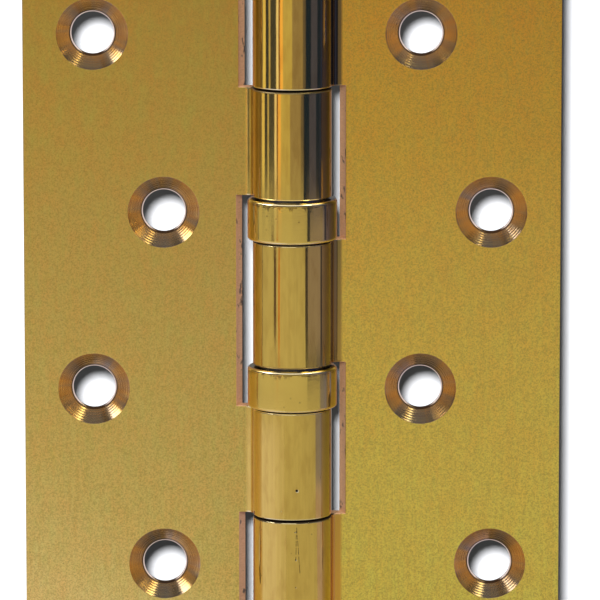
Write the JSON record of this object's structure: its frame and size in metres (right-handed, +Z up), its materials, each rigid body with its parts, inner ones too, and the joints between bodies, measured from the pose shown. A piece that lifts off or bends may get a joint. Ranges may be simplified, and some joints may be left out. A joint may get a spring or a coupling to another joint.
{
  "type": "ball bearing hinge",
  "caption": "Brass butt hinge opened flat, with a ball bearing ring between each pair of main knuckles, a steel pin and staggered countersunk screw holes.",
  "frame": {"origin": "on the pin's axis at half the hinge's height", "axes": "+Z up along the pin, +X to the frame leaf with the hinge opened flat, and +Y to the back, where the leaves are screwed on"},
  "size_m": [0.0762, 0.0126, 0.1048],
  "materials": {
    "leaf_brass": "brushed, lacquered",
    "polished_brass": "polished",
    "cage_brass": "stamped",
    "pin_steel": "ground",
    "race_steel": "hardened",
    "ball_steel": "polished"
  },
  "bodies": {
    "frame_side": {"frame_leaf": "leaf_brass", "hinge_pin": "pin_steel", "top_tip": "polished_brass", "bottom_tip": "polished_brass", "upper_bearing_shell": "polished_brass", "lower_bearing_shell": "polished_brass", "upper_bearing_bottom_race": "race_steel", "lower_bearing_top_race": "race_steel"},
    "door_side": {"door_leaf": "leaf_brass", "upper_bearing_top_race": "race_steel", "lower_bearing_bottom_race": "race_steel"},
    "upper_ball_set": {"upper_bearing_balls": "ball_steel", "upper_bearing_cage": "cage_brass"},
    "lower_ball_set": {"lower_bearing_balls": "ball_steel", "lower_bearing_cage": "cage_brass"}
  },
  "joints": [
    {"name": "door_swing", "type": "hinge", "parent": "frame_side", "child": "door_side", "pos_m": [0, 0, 0], "axis": [0, 0, 1], "range_deg": [-110, 180]},
    {"name": "upper_cage_roll", "type": "hinge", "parent": "frame_side", "child": "upper_ball_set", "pos_m": [0, 0, 0.012], "axis": [0, 0, 1], "range_deg": [-55, 90]},
    {"name": "lower_cage_roll", "type": "hinge", "parent": "frame_side", "child": "lower_ball_set", "pos_m": [0, 0, -0.012], "axis": [0, 0, 1], "range_deg": [-55, 90]}
  ],
  "couplings": [
    {"joint": "upper_cage_roll", "follows": "door_swing", "ratio": 0.5},
    {"joint": "lower_cage_roll", "follows": "door_swing", "ratio": 0.5}
  ]
}
